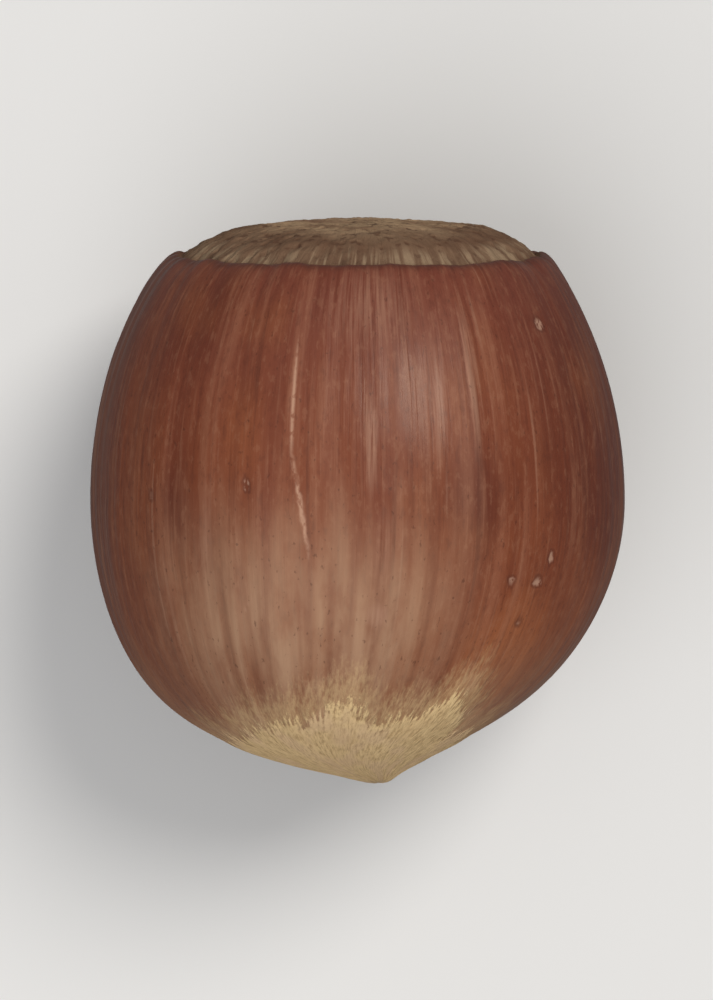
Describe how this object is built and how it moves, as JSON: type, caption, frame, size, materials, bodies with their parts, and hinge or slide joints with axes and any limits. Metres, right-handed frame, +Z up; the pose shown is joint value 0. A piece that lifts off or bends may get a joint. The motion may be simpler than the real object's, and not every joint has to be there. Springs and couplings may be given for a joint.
{
  "type": "hazelnut",
  "caption": "Whole hazelnut in its shell, lying on its flatter side, with a rough round basal scar at one end and a blunt pointed apex at the other.",
  "frame": {"origin": "on the surface that the nut rests on, under the middle of its bounding box", "axes": "+Y along the nut's long axis towards the basal scar, so the apex points to -Y; +Z up from the surface; +X across the nut's wider section"},
  "size_m": [0.02, 0.021, 0.0186],
  "materials": {
    "nutshell": "satin woody shell, reddish brown with fine lengthwise streaks, matte tan scar and pale felted apex"
  },
  "bodies": {
    "root": {"hazelnut": "nutshell"}
  },
  "joints": []
}
